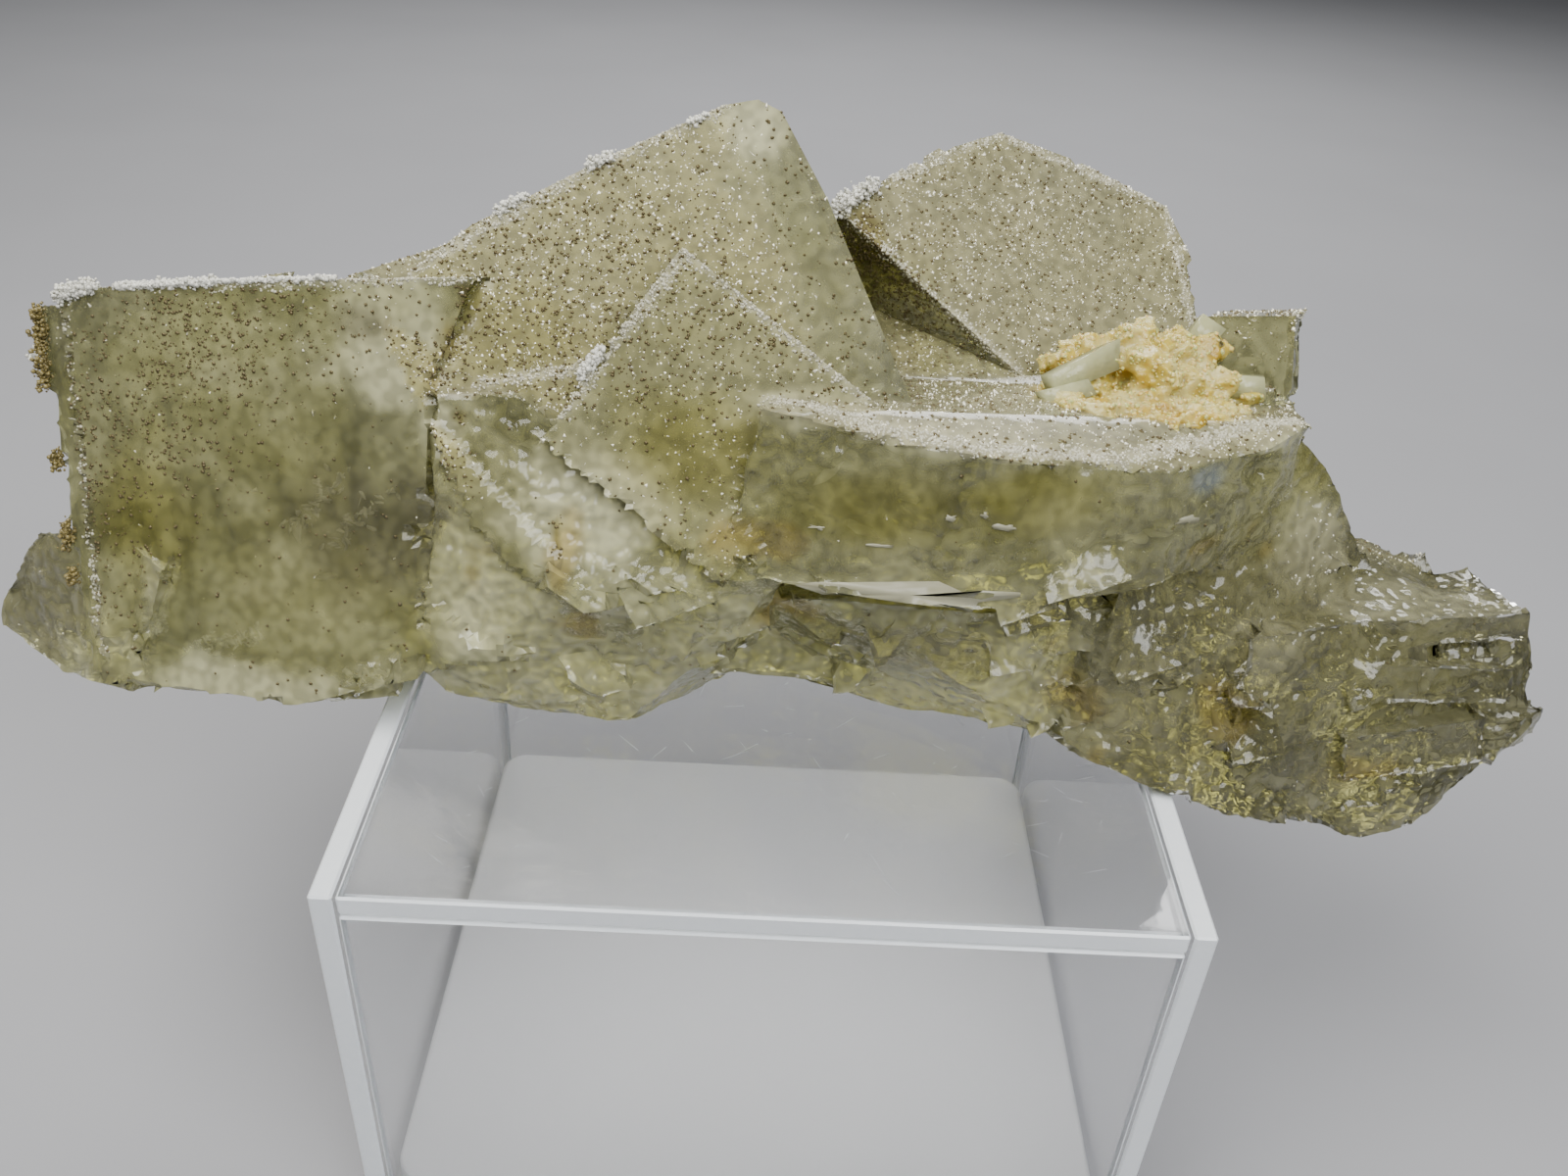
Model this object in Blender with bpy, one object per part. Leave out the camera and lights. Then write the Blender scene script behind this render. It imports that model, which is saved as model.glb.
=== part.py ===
"""A fluorite specimen on its clear display riser: intergrown cubes, a cleaved mass, a crust and a box.

Lengths are in millimetres until they reach a mesh. X runs along the specimen to the right, Y runs away
from the front, Z is up, and the origin is the middle of the riser's underside.
"""

import math
import random

import bmesh
import bpy
from mathutils import Matrix, Vector

MM = 0.001

# The riser is a box of glued clear sheets around a white base.
RISER_WIDTH = 75.0
RISER_DEPTH = 66.0
RISER_HEIGHT = 47.0
SHEET = 2.0
JOINT_GAP = 0.3
SHEET_BEVEL = 0.2
BASE_HEIGHT = 6.0
BASE_CORNER = 3.0
BASE_BEVEL = 0.6

# The specimen's lowest flats stand just clear of the riser's top sheet.
SEAT = RISER_HEIGHT + 0.3
SEAT_MARGIN = 0.8
SEAT_SPREAD = 6.0
SEAT_DROP = 20.0

# Cubes. Face is the middle of the front face, size is its width, its height and the depth behind it.
# Heading turns the face from the front to the right, tilt leans it back, roll spins it anticlockwise.
CUBES = {
    "growth band": dict(face=(-65.0, -2.3, 65.0), size=(3.4, 34.6, 21.0), heading=-8.5, tilt=22.0, roll=8.1),
    "corner cube": dict(face=(-7.5, -6.1, 78.4), size=(20.5, 20.5, 14.0), heading=-1.0, tilt=29.0, roll=55.0),
    "side cube": dict(face=(42.6, 8.0, 80.4), size=(8.4, 8.2, 8.0), heading=-29.0, tilt=14.0, roll=14.0),
    "upper ledge": dict(face=(61.4, -6.0, 60.0), size=(20.0, 3.6, 12.0), heading=4.0, tilt=12.0, roll=4.0),
    "middle ledge": dict(face=(60.5, -9.0, 56.0), size=(19.0, 4.4, 12.0), heading=2.0, tilt=16.0, roll=1.0),
    "lower ledge": dict(face=(61.5, -11.0, 49.6), size=(15.0, 5.6, 10.0), heading=7.0, tilt=14.0, roll=7.0),
    "rear cube": dict(face=(-28.0, 31.0, 62.0), size=(24.0, 22.0, 20.0), heading=168.0, tilt=18.0, roll=-14.0),
    "rear corner": dict(face=(12.0, 33.0, 66.0), size=(20.0, 19.0, 18.0), heading=192.0, tilt=12.0, roll=33.0),
}

# Crystals with corners missing: an outline in the plane of the front face, drawn around the point "face".
PLATES = {
    "left cube": dict(
        face=(-46.3, -4.5, 67.9), heading=-8.5, tilt=22.0, roll=8.1, back=25.0,
        outline=((-18.1, 18.4), (-4.0, 18.7), (20.4, 18.2), (15.6, 8.6), (14.0, -5.3),
                 (12.8, -17.2), (0.1, -19.9), (-12.2, -19.1), (-18.8, -17.8)),
    ),
    "great cube": dict(
        face=(-10.0, -2.5, 80.2), heading=-3.0, tilt=32.3, roll=28.3, back=23.0,
        outline=((-17.8, 18.0), (-10.9, 19.5), (2.3, 20.0), (13.4, 19.9), (16.1, 19.2), (17.6, 17.4),
                 (18.2, 8.8), (17.8, -11.7), (-3.9, -13.7), (-17.9, 0.0), (-20.5, 6.8)),
    ),
    "back crystal": dict(
        face=(21.8, 16.0, 83.5), heading=22.0, tilt=50.0, roll=0.0, back=19.0,
        outline=((-16.5, 9.5), (-10.5, 12.6), (-4.0, 15.5), (3.0, 16.9), (11.0, 13.0), (19.6, 7.1),
                 (20.5, 1.0), (19.0, -6.0), (17.0, -16.0), (0.5, -14.0)),
    ),
    "end crystal": dict(
        face=(-68.3, -4.0, 52.4), heading=-30.0, tilt=20.0, roll=0.0, back=15.0,
        outline=((-6.0, 7.1), (-10.5, -0.6), (-10.1, -4.7), (-0.7, -6.5), (9.8, -4.6), (12.0, 9.0), (5.8, 10.4)),
    ),
}

# Broken masses between and below the crystals, each the convex hull of its corners.
MASSES = {
    "core": (
        (-44.0, -4.0, 51.0), (-38.0, 20.0, 48.0), (32.0, 24.0, 48.0), (36.0, -8.0, 50.0),
        (-42.0, 6.0, 78.0), (-34.0, 23.0, 72.0), (8.0, 28.0, 80.0), (38.0, 27.0, 78.0), (40.0, 4.0, 76.0),
        (0.0, 0.0, 78.0), (-8.0, 27.0, 47.0), (20.0, 29.0, 60.0), (-12.0, 30.0, 62.0),
    ),
    "front block": (
        (-3.0, -8.4, 81.0), (7.6, -10.4, 79.3), (19.7, -11.2, 78.6), (32.5, -9.6, 77.6), (42.0, -5.0, 78.1),
        (46.6, -1.0, 78.6), (47.6, 5.0, 77.4), (26.0, 6.0, 77.8), (4.0, 4.0, 78.4), (0.2, -13.2, 66.0),
        (-5.5, -11.6, 66.0), (17.2, -14.0, 65.0), (33.5, -11.5, 67.0), (47.0, -2.0, 66.0), (0.0, 8.0, 62.0),
        (44.0, 12.0, 62.0),
    ),
    "left foot": (
        (-31.1, -3.8, 78.0), (-23.5, -3.6, 78.6), (-31.9, -8.6, 65.4), (-32.4, -12.0, 53.7), (-31.0, -11.0, 50.6),
        (-24.9, -10.0, 48.4), (-13.8, -10.4, 47.2), (-5.0, -2.0, 46.8), (-16.8, -12.5, 65.0), (-8.3, -12.4, 61.0),
        (-22.1, -10.4, 67.0), (-31.0, 6.0, 77.0), (-34.0, 12.0, 49.0), (-6.0, 14.0, 47.0), (1.0, -12.2, 66.4),
    ),
    "middle foot": (
        (-6.0, -6.0, 60.0), (1.1, -2.0, 47.4), (10.8, -5.2, 47.0), (21.8, -6.2, 47.4), (27.0, -11.6, 49.6),
        (20.0, -11.0, 63.0), (2.0, -9.6, 63.0), (2.0, 16.0, 46.8), (26.0, 18.0, 47.0), (31.0, -7.6, 66.0),
    ),
    "cube foot": (
        (-62.0, -8.3, 52.6), (-58.0, -9.6, 50.4), (-46.0, -11.6, 48.4), (-34.5, -12.2, 50.6), (-31.0, -9.2, 60.0),
        (-62.0, 8.0, 52.0), (-40.0, 14.0, 48.0), (-60.0, -5.0, 60.0), (-52.0, 10.0, 70.0), (-50.0, 4.0, 46.6),
    ),
    "right slope": (
        (24.5, -9.6, 49.2), (28.4, -14.2, 49.4), (36.5, -17.2, 47.8), (42.6, -15.4, 43.8), (50.0, -14.4, 42.2),
        (47.0, 1.0, 77.0), (51.4, 2.0, 72.5), (53.4, 1.0, 67.9), (57.0, 1.0, 63.6), (30.0, -10.0, 66.0),
        (59.0, 10.0, 57.0), (50.0, 20.0, 62.0), (40.0, 20.0, 48.0), (52.0, 14.0, 44.0), (42.0, 14.0, 77.0),
    ),
    "right end": (
        (43.0, -14.6, 45.0), (58.9, -12.2, 38.6), (64.9, -10.2, 39.1), (70.0, -8.0, 43.8), (75.0, -5.6, 47.8),
        (76.0, -2.0, 54.0), (74.3, 0.4, 59.2), (66.0, -2.2, 60.8), (60.0, -4.0, 61.4), (42.0, -11.0, 62.0),
        (74.0, 8.0, 52.0), (62.0, 15.0, 46.0), (54.0, 14.0, 41.0), (60.0, 12.0, 60.0), (68.0, 10.0, 44.0),
    ),
}

# Cleavage steps and chips on the broken masses. Sizes is their range, proud is how far they stand out,
# band is the range of heights that they are found in, and facing is the least that a surface looks back.
# They all lie nearly the same way, and a surface that slopes less than the plateau has none.
STEP_SEED = 11
STEP_TURN = dict(heading=-6.0, tilt=24.0, roll=20.0)
STEP_SWAY = 9.0
STEP_BURIED = 0.42
PLATEAU_SLOPE = 0.55
OCTAHEDRON = math.sqrt(1.0 / 3.0)
FRONT_STEPS = {
    "left foot": dict(count=24, sizes=(3.0, 8.0), proud=0.8, band=(52.0, 66.0)),
    "middle foot": dict(count=22, sizes=(3.0, 7.0), proud=0.8, band=(50.0, 64.0)),
    "front block": dict(count=10, sizes=(3.0, 8.0), proud=0.4, band=(64.0, 72.0)),
    "cube foot": dict(count=10, sizes=(3.0, 6.0), proud=0.5, band=(49.0, 54.0)),
    "right slope": dict(count=40, sizes=(3.5, 9.0), proud=1.0, band=(50.0, 70.0)),
    "right end": dict(count=56, sizes=(3.0, 8.0), proud=0.8, band=(41.0, 58.0)),
}
REAR_STEPS = dict(count=64, sizes=(4.0, 12.0), proud=1.8, band=(49.0, 77.0), facing=0.35)

# The yellow crust at the foot of the back crystal: lumps along a ridge, each with its own turn.
CRUST_LUMPS = (
    ((25.4, 6.0, 78.4), 4.0), ((28.2, 6.2, 80.0), 4.6), ((31.6, 6.4, 80.8), 5.4), ((35.2, 6.8, 81.2), 5.4),
    ((38.4, 7.0, 80.8), 4.6), ((28.8, 3.4, 77.8), 4.6), ((32.4, 3.6, 79.0), 5.6), ((36.4, 4.0, 79.2), 5.2),
    ((33.0, 1.8, 77.2), 4.4), ((29.4, 1.4, 76.4), 4.0), ((38.8, 4.4, 78.6), 4.0), ((26.2, 3.4, 77.2), 3.4),
)


def clear_scene():
    for obj in list(bpy.data.objects):
        bpy.data.objects.remove(obj, do_unlink=True)


def make_material(name, colour, roughness, transmission=0.0, ior=1.5):
    made = bpy.data.materials.new(name)
    made.use_nodes = True
    shader = made.node_tree.nodes["Principled BSDF"]
    shader.inputs["Base Color"].default_value = (*colour, 1.0)
    shader.inputs["Roughness"].default_value = roughness
    shader.inputs["Metallic"].default_value = 0.0
    shader.inputs["Transmission Weight"].default_value = transmission
    shader.inputs["IOR"].default_value = ior
    return made


def object_from(bm, name):
    bmesh.ops.recalc_face_normals(bm, faces=bm.faces)
    mesh = bpy.data.meshes.new(name)
    bm.to_mesh(mesh)
    bm.free()
    obj = bpy.data.objects.new(name, mesh)
    bpy.context.scene.collection.objects.link(obj)
    return obj


def turned(heading, tilt, roll):
    """The rotation of a body whose front face looks along -Y before it is turned."""
    heading, tilt, roll = (math.radians(angle) for angle in (heading, tilt, roll))
    lean = Matrix.Rotation(-tilt, 4, "X") @ Matrix.Rotation(-roll, 4, "Y")
    return Matrix.Rotation(heading, 4, "Z") @ lean


def cube_crystal(name, face, size, heading, tilt, roll):
    width, height, depth = size
    bm = bmesh.new()
    bmesh.ops.create_cube(bm, size=1.0)
    bmesh.ops.scale(bm, vec=Vector((width, depth, height)) * MM, verts=bm.verts)
    bmesh.ops.translate(bm, vec=Vector((0.0, depth / 2, 0.0)) * MM, verts=bm.verts)
    place = Matrix.Translation(Vector(face) * MM) @ turned(heading, tilt, roll)
    bmesh.ops.transform(bm, matrix=place, verts=bm.verts)
    return object_from(bm, name)


def plate_crystal(name, face, outline, heading, tilt, roll, back):
    bm = bmesh.new()
    front = bm.faces.new([bm.verts.new(Vector((across, 0.0, up)) * MM) for across, up in outline])
    grown = bmesh.ops.extrude_face_region(bm, geom=[front])
    behind = [part for part in grown["geom"] if isinstance(part, bmesh.types.BMVert)]
    bmesh.ops.translate(bm, vec=Vector((0.0, back, 0.0)) * MM, verts=behind)
    place = Matrix.Translation(Vector(face) * MM) @ turned(heading, tilt, roll)
    bmesh.ops.transform(bm, matrix=place, verts=bm.verts)
    return object_from(bm, name)


def hull(name, corners):
    bm = bmesh.new()
    for corner in corners:
        bm.verts.new(Vector(corner) * MM)
    bmesh.ops.convex_hull(bm, input=bm.verts)
    within = [vert for vert in bm.verts if not vert.link_faces]
    bmesh.ops.delete(bm, geom=within, context="VERTS")
    return object_from(bm, name)


def cleaved_block(rng, name, place, size):
    """A block of cubic crystal with one to three corners cleaved off along its octahedral planes."""
    bm = bmesh.new()
    bmesh.ops.create_cube(bm, size=1.0)
    sides = Vector((size, size * rng.uniform(0.5, 1.0), size * rng.uniform(0.45, 1.0)))
    bmesh.ops.scale(bm, vec=sides * MM, verts=bm.verts)
    for _ in range(rng.randint(1, 3)):
        signs = Vector((rng.choice((-1, 1)), -1, rng.choice((-1, 1))))
        normal = signs * OCTAHEDRON
        corner = Vector(half * sign for half, sign in zip(sides * (MM / 2), signs))
        cut = corner - normal * size * MM * rng.uniform(0.18, 0.5)
        parts = list(bm.verts) + list(bm.edges) + list(bm.faces)
        bmesh.ops.bisect_plane(bm, geom=parts, plane_co=cut, plane_no=normal, clear_outer=True)
        open_edges = [edge for edge in bm.edges if edge.is_boundary]
        bmesh.ops.holes_fill(bm, edges=open_edges)
    bmesh.ops.transform(bm, matrix=place, verts=bm.verts)
    return object_from(bm, name)


def surface_points(rng, obj, count, band, facing):
    """Points spread over a mass by area, with the normals there, leaving out what faces up or forward."""
    mesh = obj.data
    mesh.calc_loop_triangles()
    triangles = [tri for tri in mesh.loop_triangles if tri.normal.z < PLATEAU_SLOPE and tri.normal.y > facing]
    areas = [tri.area for tri in triangles]
    found = 0
    while found < count:
        tri = rng.choices(triangles, weights=areas)[0]
        first, second, third = (mesh.vertices[index].co for index in tri.vertices)
        along, across = sorted((rng.random(), rng.random()))
        point = first * along + second * (across - along) + third * (1.0 - across)
        if band[0] * MM < point.z < band[1] * MM:
            found += 1
            yield point, tri.normal.copy()


def cleavage_steps(rng, mass, count, sizes, proud, band, facing=-1.0):
    blocks = []
    for number, (point, normal) in enumerate(surface_points(rng, mass, count, band, facing)):
        size = rng.uniform(*sizes)
        sway = [STEP_TURN[axis] + rng.uniform(-STEP_SWAY, STEP_SWAY) for axis in ("heading", "tilt", "roll")]
        centre = point - normal * (size * STEP_BURIED - proud * rng.uniform(0.3, 1.0)) * MM
        place = Matrix.Translation(centre) @ turned(*sway)
        blocks.append(cleaved_block(rng, f"{mass.name} step {number}", place, size))
    return blocks


def crust_lumps(rng):
    lumps = []
    for number, (centre, size) in enumerate(CRUST_LUMPS):
        turn = turned(rng.uniform(-40.0, 40.0), rng.uniform(0.0, 60.0), rng.uniform(-45.0, 45.0))
        place = Matrix.Translation(Vector(centre) * MM) @ turn
        lumps.append(cleaved_block(rng, f"crust lump {number}", place, size))
    return lumps


def combine(target, tool, operation):
    """Joins the tool to the target, or cuts it away, and removes the tool."""
    modifier = target.modifiers.new(tool.name, "BOOLEAN")
    modifier.operation = operation
    modifier.solver = "EXACT"
    modifier.object = tool
    graph = bpy.context.evaluated_depsgraph_get()
    result = bpy.data.meshes.new_from_object(target.evaluated_get(graph))
    target.modifiers.clear()
    target.data = result
    bpy.data.objects.remove(tool, do_unlink=True)


def seat_cutter():
    """Everything below the riser's top and close beside its walls, with sides that spread downwards."""
    half_x = RISER_WIDTH / 2 + SEAT_MARGIN
    half_y = RISER_DEPTH / 2 + SEAT_MARGIN
    corners = []
    for x_sign in (-1, 1):
        for y_sign in (-1, 1):
            corners.append((x_sign * half_x, y_sign * half_y, SEAT))
            corners.append((x_sign * (half_x + SEAT_SPREAD), y_sign * half_y, SEAT - SEAT_DROP))
    return hull("seat cutter", corners)


def keep_largest_shell(bm):
    """Removes shells left over inside or beside the main one."""
    unseen = set(bm.verts)
    shells = []
    while unseen:
        shell = set()
        border = [unseen.pop()]
        while border:
            vert = border.pop()
            shell.add(vert)
            near = {edge.other_vert(vert) for edge in vert.link_edges} & unseen
            unseen -= near
            border.extend(near)
        shells.append(shell)
    shells.sort(key=len)
    for shell in shells[:-1]:
        bmesh.ops.delete(bm, geom=list(shell), context="VERTS")


def build_cluster():
    rng = random.Random(STEP_SEED)
    masses = {name: hull(name, corners) for name, corners in MASSES.items()}
    parts = [cube_crystal(name, **settings) for name, settings in CUBES.items()]
    parts += [plate_crystal(name, **settings) for name, settings in PLATES.items()]
    for name, rule in FRONT_STEPS.items():
        parts += cleavage_steps(rng, masses[name], **rule)
    cluster = masses.pop("core")
    for part in list(masses.values()) + parts:
        combine(cluster, part, "UNION")
    for block in cleavage_steps(rng, cluster, **REAR_STEPS) + crust_lumps(rng):
        combine(cluster, block, "UNION")
    combine(cluster, seat_cutter(), "DIFFERENCE")
    bm = bmesh.new()
    bm.from_mesh(cluster.data)
    bmesh.ops.triangulate(bm, faces=bm.faces)
    bmesh.ops.remove_doubles(bm, verts=bm.verts, dist=0.00001)
    bmesh.ops.dissolve_degenerate(bm, edges=bm.edges, dist=0.00001)
    keep_largest_shell(bm)
    bmesh.ops.triangulate(bm, faces=bm.faces)
    bm.to_mesh(cluster.data)
    bm.free()
    cluster.name = "fluorite_cluster"
    cluster.data.name = "fluorite_cluster"
    return cluster


def bevelled_box(name, low, high, bevel):
    bm = bmesh.new()
    bmesh.ops.create_cube(bm, size=1.0)
    low, high = Vector(low) * MM, Vector(high) * MM
    bmesh.ops.scale(bm, vec=high - low, verts=bm.verts)
    bmesh.ops.translate(bm, vec=(high + low) / 2, verts=bm.verts)
    obj = object_from(bm, name)
    edge = obj.modifiers.new("edge", "BEVEL")
    edge.width = bevel * MM
    edge.segments = 1
    return obj


def build_riser():
    half_x = RISER_WIDTH / 2
    half_y = RISER_DEPTH / 2
    inner_x = half_x - SHEET - JOINT_GAP
    inner_y = half_y - SHEET - JOINT_GAP
    under_top = RISER_HEIGHT - SHEET - JOINT_GAP
    sheets = {
        "riser_left_side": ((-half_x, -half_y, 0.0), (SHEET - half_x, half_y, RISER_HEIGHT)),
        "riser_right_side": ((half_x - SHEET, -half_y, 0.0), (half_x, half_y, RISER_HEIGHT)),
        "riser_top": ((-inner_x, -half_y, RISER_HEIGHT - SHEET), (inner_x, half_y, RISER_HEIGHT)),
        "riser_front": ((-inner_x, -half_y, 0.0), (inner_x, SHEET - half_y, under_top)),
        "riser_back": ((-inner_x, half_y - SHEET, 0.0), (inner_x, half_y, under_top)),
    }
    pieces = [bevelled_box(name, low, high, SHEET_BEVEL) for name, (low, high) in sheets.items()]
    return pieces, build_base(inner_x, inner_y)


def build_base(half_x, half_y):
    """The white moulded block that closes the riser's underside."""
    bm = bmesh.new()
    outline = []
    for x_sign, y_sign, start in ((1, 1, 0), (-1, 1, 90), (-1, -1, 180), (1, -1, 270)):
        for step in range(7):
            angle = math.radians(start + 15 * step)
            across = x_sign * (half_x - BASE_CORNER) + BASE_CORNER * math.cos(angle)
            along = y_sign * (half_y - BASE_CORNER) + BASE_CORNER * math.sin(angle)
            outline.append(bm.verts.new(Vector((across, along, 0.0)) * MM))
    foot = bm.faces.new(outline)
    grown = bmesh.ops.extrude_face_region(bm, geom=[foot])
    top = [part for part in grown["geom"] if isinstance(part, bmesh.types.BMVert)]
    bmesh.ops.translate(bm, vec=Vector((0.0, 0.0, BASE_HEIGHT)) * MM, verts=top)
    base = object_from(bm, "riser_base")
    edge = base.modifiers.new("edge", "BEVEL")
    edge.width = BASE_BEVEL * MM
    edge.segments = 3
    edge.limit_method = "ANGLE"
    edge.angle_limit = math.radians(50)
    return base


def main():
    clear_scene()
    fluorite = make_material("fluorite", (0.56, 0.55, 0.34), 0.18, 0.7, 1.434)
    acrylic = make_material("clear acrylic", (0.92, 0.95, 0.96), 0.05, 1.0, 1.49)
    white = make_material("white plastic", (0.86, 0.86, 0.88), 0.4)
    build_cluster().data.materials.append(fluorite)
    sheets, base = build_riser()
    for sheet in sheets:
        sheet.data.materials.append(acrylic)
    base.data.materials.append(white)


main()
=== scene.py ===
"""Looks of a fluorite specimen on its clear riser.

The crystals are milky and see-through by turns, with a sparkling druse, dark specks, inner cracks and a
yellow crust. Lengths are in millimetres until they reach a mesh, a light or a shader. The frame is the
part's own: X to the right, Y away from the front, Z up, with the origin in the middle of the riser's
underside.
"""

import math

import bmesh
import bpy
import numpy as np
from mathutils import Matrix, Vector
from mathutils.bvhtree import BVHTree


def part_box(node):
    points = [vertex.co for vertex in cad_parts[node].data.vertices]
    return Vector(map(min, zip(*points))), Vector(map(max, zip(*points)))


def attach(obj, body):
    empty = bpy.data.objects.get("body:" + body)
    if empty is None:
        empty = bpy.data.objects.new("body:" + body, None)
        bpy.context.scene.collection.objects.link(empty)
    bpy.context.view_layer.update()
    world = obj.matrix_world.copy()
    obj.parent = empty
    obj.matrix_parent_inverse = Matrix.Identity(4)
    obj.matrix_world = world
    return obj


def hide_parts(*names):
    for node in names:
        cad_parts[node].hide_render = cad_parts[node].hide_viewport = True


MM = 0.001

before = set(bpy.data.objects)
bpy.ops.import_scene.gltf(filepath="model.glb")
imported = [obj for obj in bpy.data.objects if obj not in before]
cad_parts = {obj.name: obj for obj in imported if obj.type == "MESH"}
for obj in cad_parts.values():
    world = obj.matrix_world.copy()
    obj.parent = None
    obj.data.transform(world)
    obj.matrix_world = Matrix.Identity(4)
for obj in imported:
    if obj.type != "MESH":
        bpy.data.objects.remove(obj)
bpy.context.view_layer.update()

# The photograph's camera, from the riser's edges.
PICTURE_WIDTH_PX = 1600
FOCAL_PX = 1373.0
SENSOR_MM = 36.0
CAMERA_AT = (-2.19, -108.96, 131.37)
CAMERA_RIGHT = (0.99846, 0.01195, 0.05415)
CAMERA_AIM = (0.02056, 0.82706, -0.56174)

# The crystals' front faces: a point on each, its turn in degrees, and its reach left, right, down and up.
FACES = {
    "left": dict(at=(-46.3, -4.5, 67.9), turn=(-8.5, 22.0, 8.1), reach=(-18.6, 20.4, -20.0, 18.8)),
    "band": dict(at=(-65.0, -2.3, 65.0), turn=(-8.5, 22.0, 8.1), reach=(-1.8, 1.8, -17.4, 17.4)),
    "great": dict(at=(-10.0, -2.5, 80.2), turn=(-3.0, 32.3, 28.3), reach=(-20.6, 18.3, -13.8, 20.1)),
    "corner": dict(at=(-7.5, -6.1, 78.4), turn=(-1.0, 29.0, 55.0), reach=(-10.3, 10.3, -10.3, 10.3)),
    "back": dict(at=(21.8, 16.0, 83.5), turn=(22.0, 50.0, 0.0), reach=(-16.6, 20.6, -16.1, 17.0)),
    "side": dict(at=(42.6, 8.0, 80.4), turn=(-29.0, 14.0, 14.0), reach=(-4.3, 4.3, -4.2, 4.2)),
}
FACE_SLACK = 0.5
RIDGE_NORMAL = (-0.61, -0.72, -0.38)

# Where the crystal's colour and clearness change: the middle and the reach of each soft patch.
SMOKY = (
    ((-39.0, -6.4, 65.4), (7.0, 5.0, 8.0)), ((-33.5, -7.5, 68.0), (3.5, 5.0, 7.5)),
    ((31.5, -10.5, 64.5), (5.5, 4.0, 5.0)), ((24.5, -12.5, 63.5), (5.0, 4.0, 4.0)),
    ((-72.5, -1.3, 54.0), (8.0, 9.0, 9.0)), ((-37.5, 0.2, 82.7), (3.6, 3.0, 1.8)),
    ((10.0, -10.5, 58.0), (12.0, 4.0, 3.5)), ((55.0, -9.0, 58.0), (4.0, 3.0, 1.2)),
    ((64.5, -8.0, 58.4), (6.0, 3.5, 1.0)),
)
MILKY = (
    ((50.0, -2.5, 66.5), (6.0, 6.0, 6.0)), ((-4.5, 9.5, 98.5), (3.5, 3.0, 3.5)),
    ((45.0, -9.0, 60.0), (5.0, 5.0, 4.0)), ((-27.0, -10.0, 58.5), (4.5, 4.0, 6.0)),
    ((1.0, -6.5, 80.0), (8.0, 3.0, 2.5)), ((14.0, -9.5, 79.5), (9.0, 3.0, 1.6)),
    ((42.0, -3.0, 78.5), (6.0, 3.0, 2.0)), ((-49.0, -10.5, 50.5), (14.0, 4.0, 3.0)),
    ((-30.5, -4.5, 74.5), (2.5, 3.0, 4.5)), ((62.0, -2.0, 61.5), (12.0, 6.0, 1.5)),
    ((-17.0, -9.5, 70.5), (9.0, 7.0, 7.0)), ((-35.5, -0.8, 81.5), (7.0, 4.5, 6.5)),
)
OLIVE = (
    ((8.0, -11.5, 73.5), (8.5, 4.0, 5.0)), ((21.0, -12.0, 75.0), (7.5, 4.0, 3.8)),
    ((8.5, 16.0, 82.0), (9.0, 6.0, 7.0)), ((11.5, 10.0, 78.2), (5.0, 4.0, 2.5)),
    ((-8.0, -8.0, 77.0), (9.0, 5.0, 7.5)), ((-24.0, 0.5, 82.0), (8.0, 4.0, 5.0)),
    ((-58.0, -3.0, 62.0), (6.0, 5.0, 13.0)), ((49.0, 1.0, 73.5), (3.5, 4.0, 4.0)),
)
STAINED = (
    ((-2.6, -11.3, 70.0), (4.5, 3.0, 1.8)), ((-19.0, -11.0, 66.0), (1.6, 3.0, 4.5)),
    ((-17.4, -12.3, 60.4), (1.4, 3.0, 2.4)), ((0.4, -8.5, 61.0), (3.5, 3.0, 1.6)),
    ((38.0, -8.2, 69.8), (2.0, 2.0, 1.0)), ((28.0, -12.0, 54.4), (3.5, 4.0, 2.0)),
    ((57.0, -12.0, 47.5), (4.0, 4.0, 2.0)), ((41.0, -12.0, 55.0), (3.0, 4.0, 3.0)),
)
# Painted shade along the step where the left crystal stands proud of the great one, and at the top of the
# ridge face that turns from the lamps. Real dark specks also crowd that step.
SEAM_SHADE_AND_SPECKS = (
    ((-28.4, 0.2, 86.0), (0.7, 1.0, 1.6)), ((-29.9, -1.1, 82.3), (0.8, 1.0, 2.4)),
    ((-31.2, -2.3, 79.0), (0.9, 1.0, 1.6)), ((-28.7, -4.7, 76.7), (0.9, 1.5, 0.7)),
    ((-20.0, -10.1, 68.6), (0.5, 1.5, 2.2)), ((6.5, 15.5, 87.0), (2.6, 3.0, 3.2)),
)
WHITE_SPOT = (((36.3, -8.1, 76.3), (1.9, 2.0, 1.5)),)
DIMPLE = ((42.0, -5.3, 75.6), (3.4, 4.0, 2.1))
DIMPLE_DEPTH = 1.1
CRUST = ((32.0, 3.2, 80.0), (10.0, 6.4, 6.2))

# Frosted rims on the crystals' edges: a face, two places on it, and the rim's width.
FACE_RIMS = (
    ("left", (-3.0, 18.6), (19.0, 18.3), 0.5), ("left", (-18.6, 17.6), (-19.0, -15.0), 0.45),
    ("great", (-17.8, 18.0), (2.3, 20.0), 0.6), ("great", (2.3, 19.9), (13.4, 19.8), 0.5),
    ("great", (-15.7, 6.8), (-6.6, 4.1), 0.45), ("corner", (-7.0, 10.1), (9.8, 10.1), 0.9),
    ("corner", (10.1, 9.6), (10.1, -9.8), 0.4), ("back", (-16.5, 9.5), (0.5, -14.0), 0.6),
    ("back", (-10.0, 12.6), (3.0, 16.8), 0.6), ("back", (3.0, 16.8), (19.6, 7.1), 0.6),
    ("back", (19.6, 7.1), (17.0, -15.0), 0.5),
)
PLATEAU_RIM = (
    (-2.0, -5.0, 80.0), (6.0, -9.0, 80.0), (16.0, -10.0, 79.0), (28.0, -9.0, 78.0), (40.0, -3.0, 79.0),
    (46.0, 0.0, 78.5),
)
PLATEAU_RIM_WIDTH = 0.95

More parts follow.
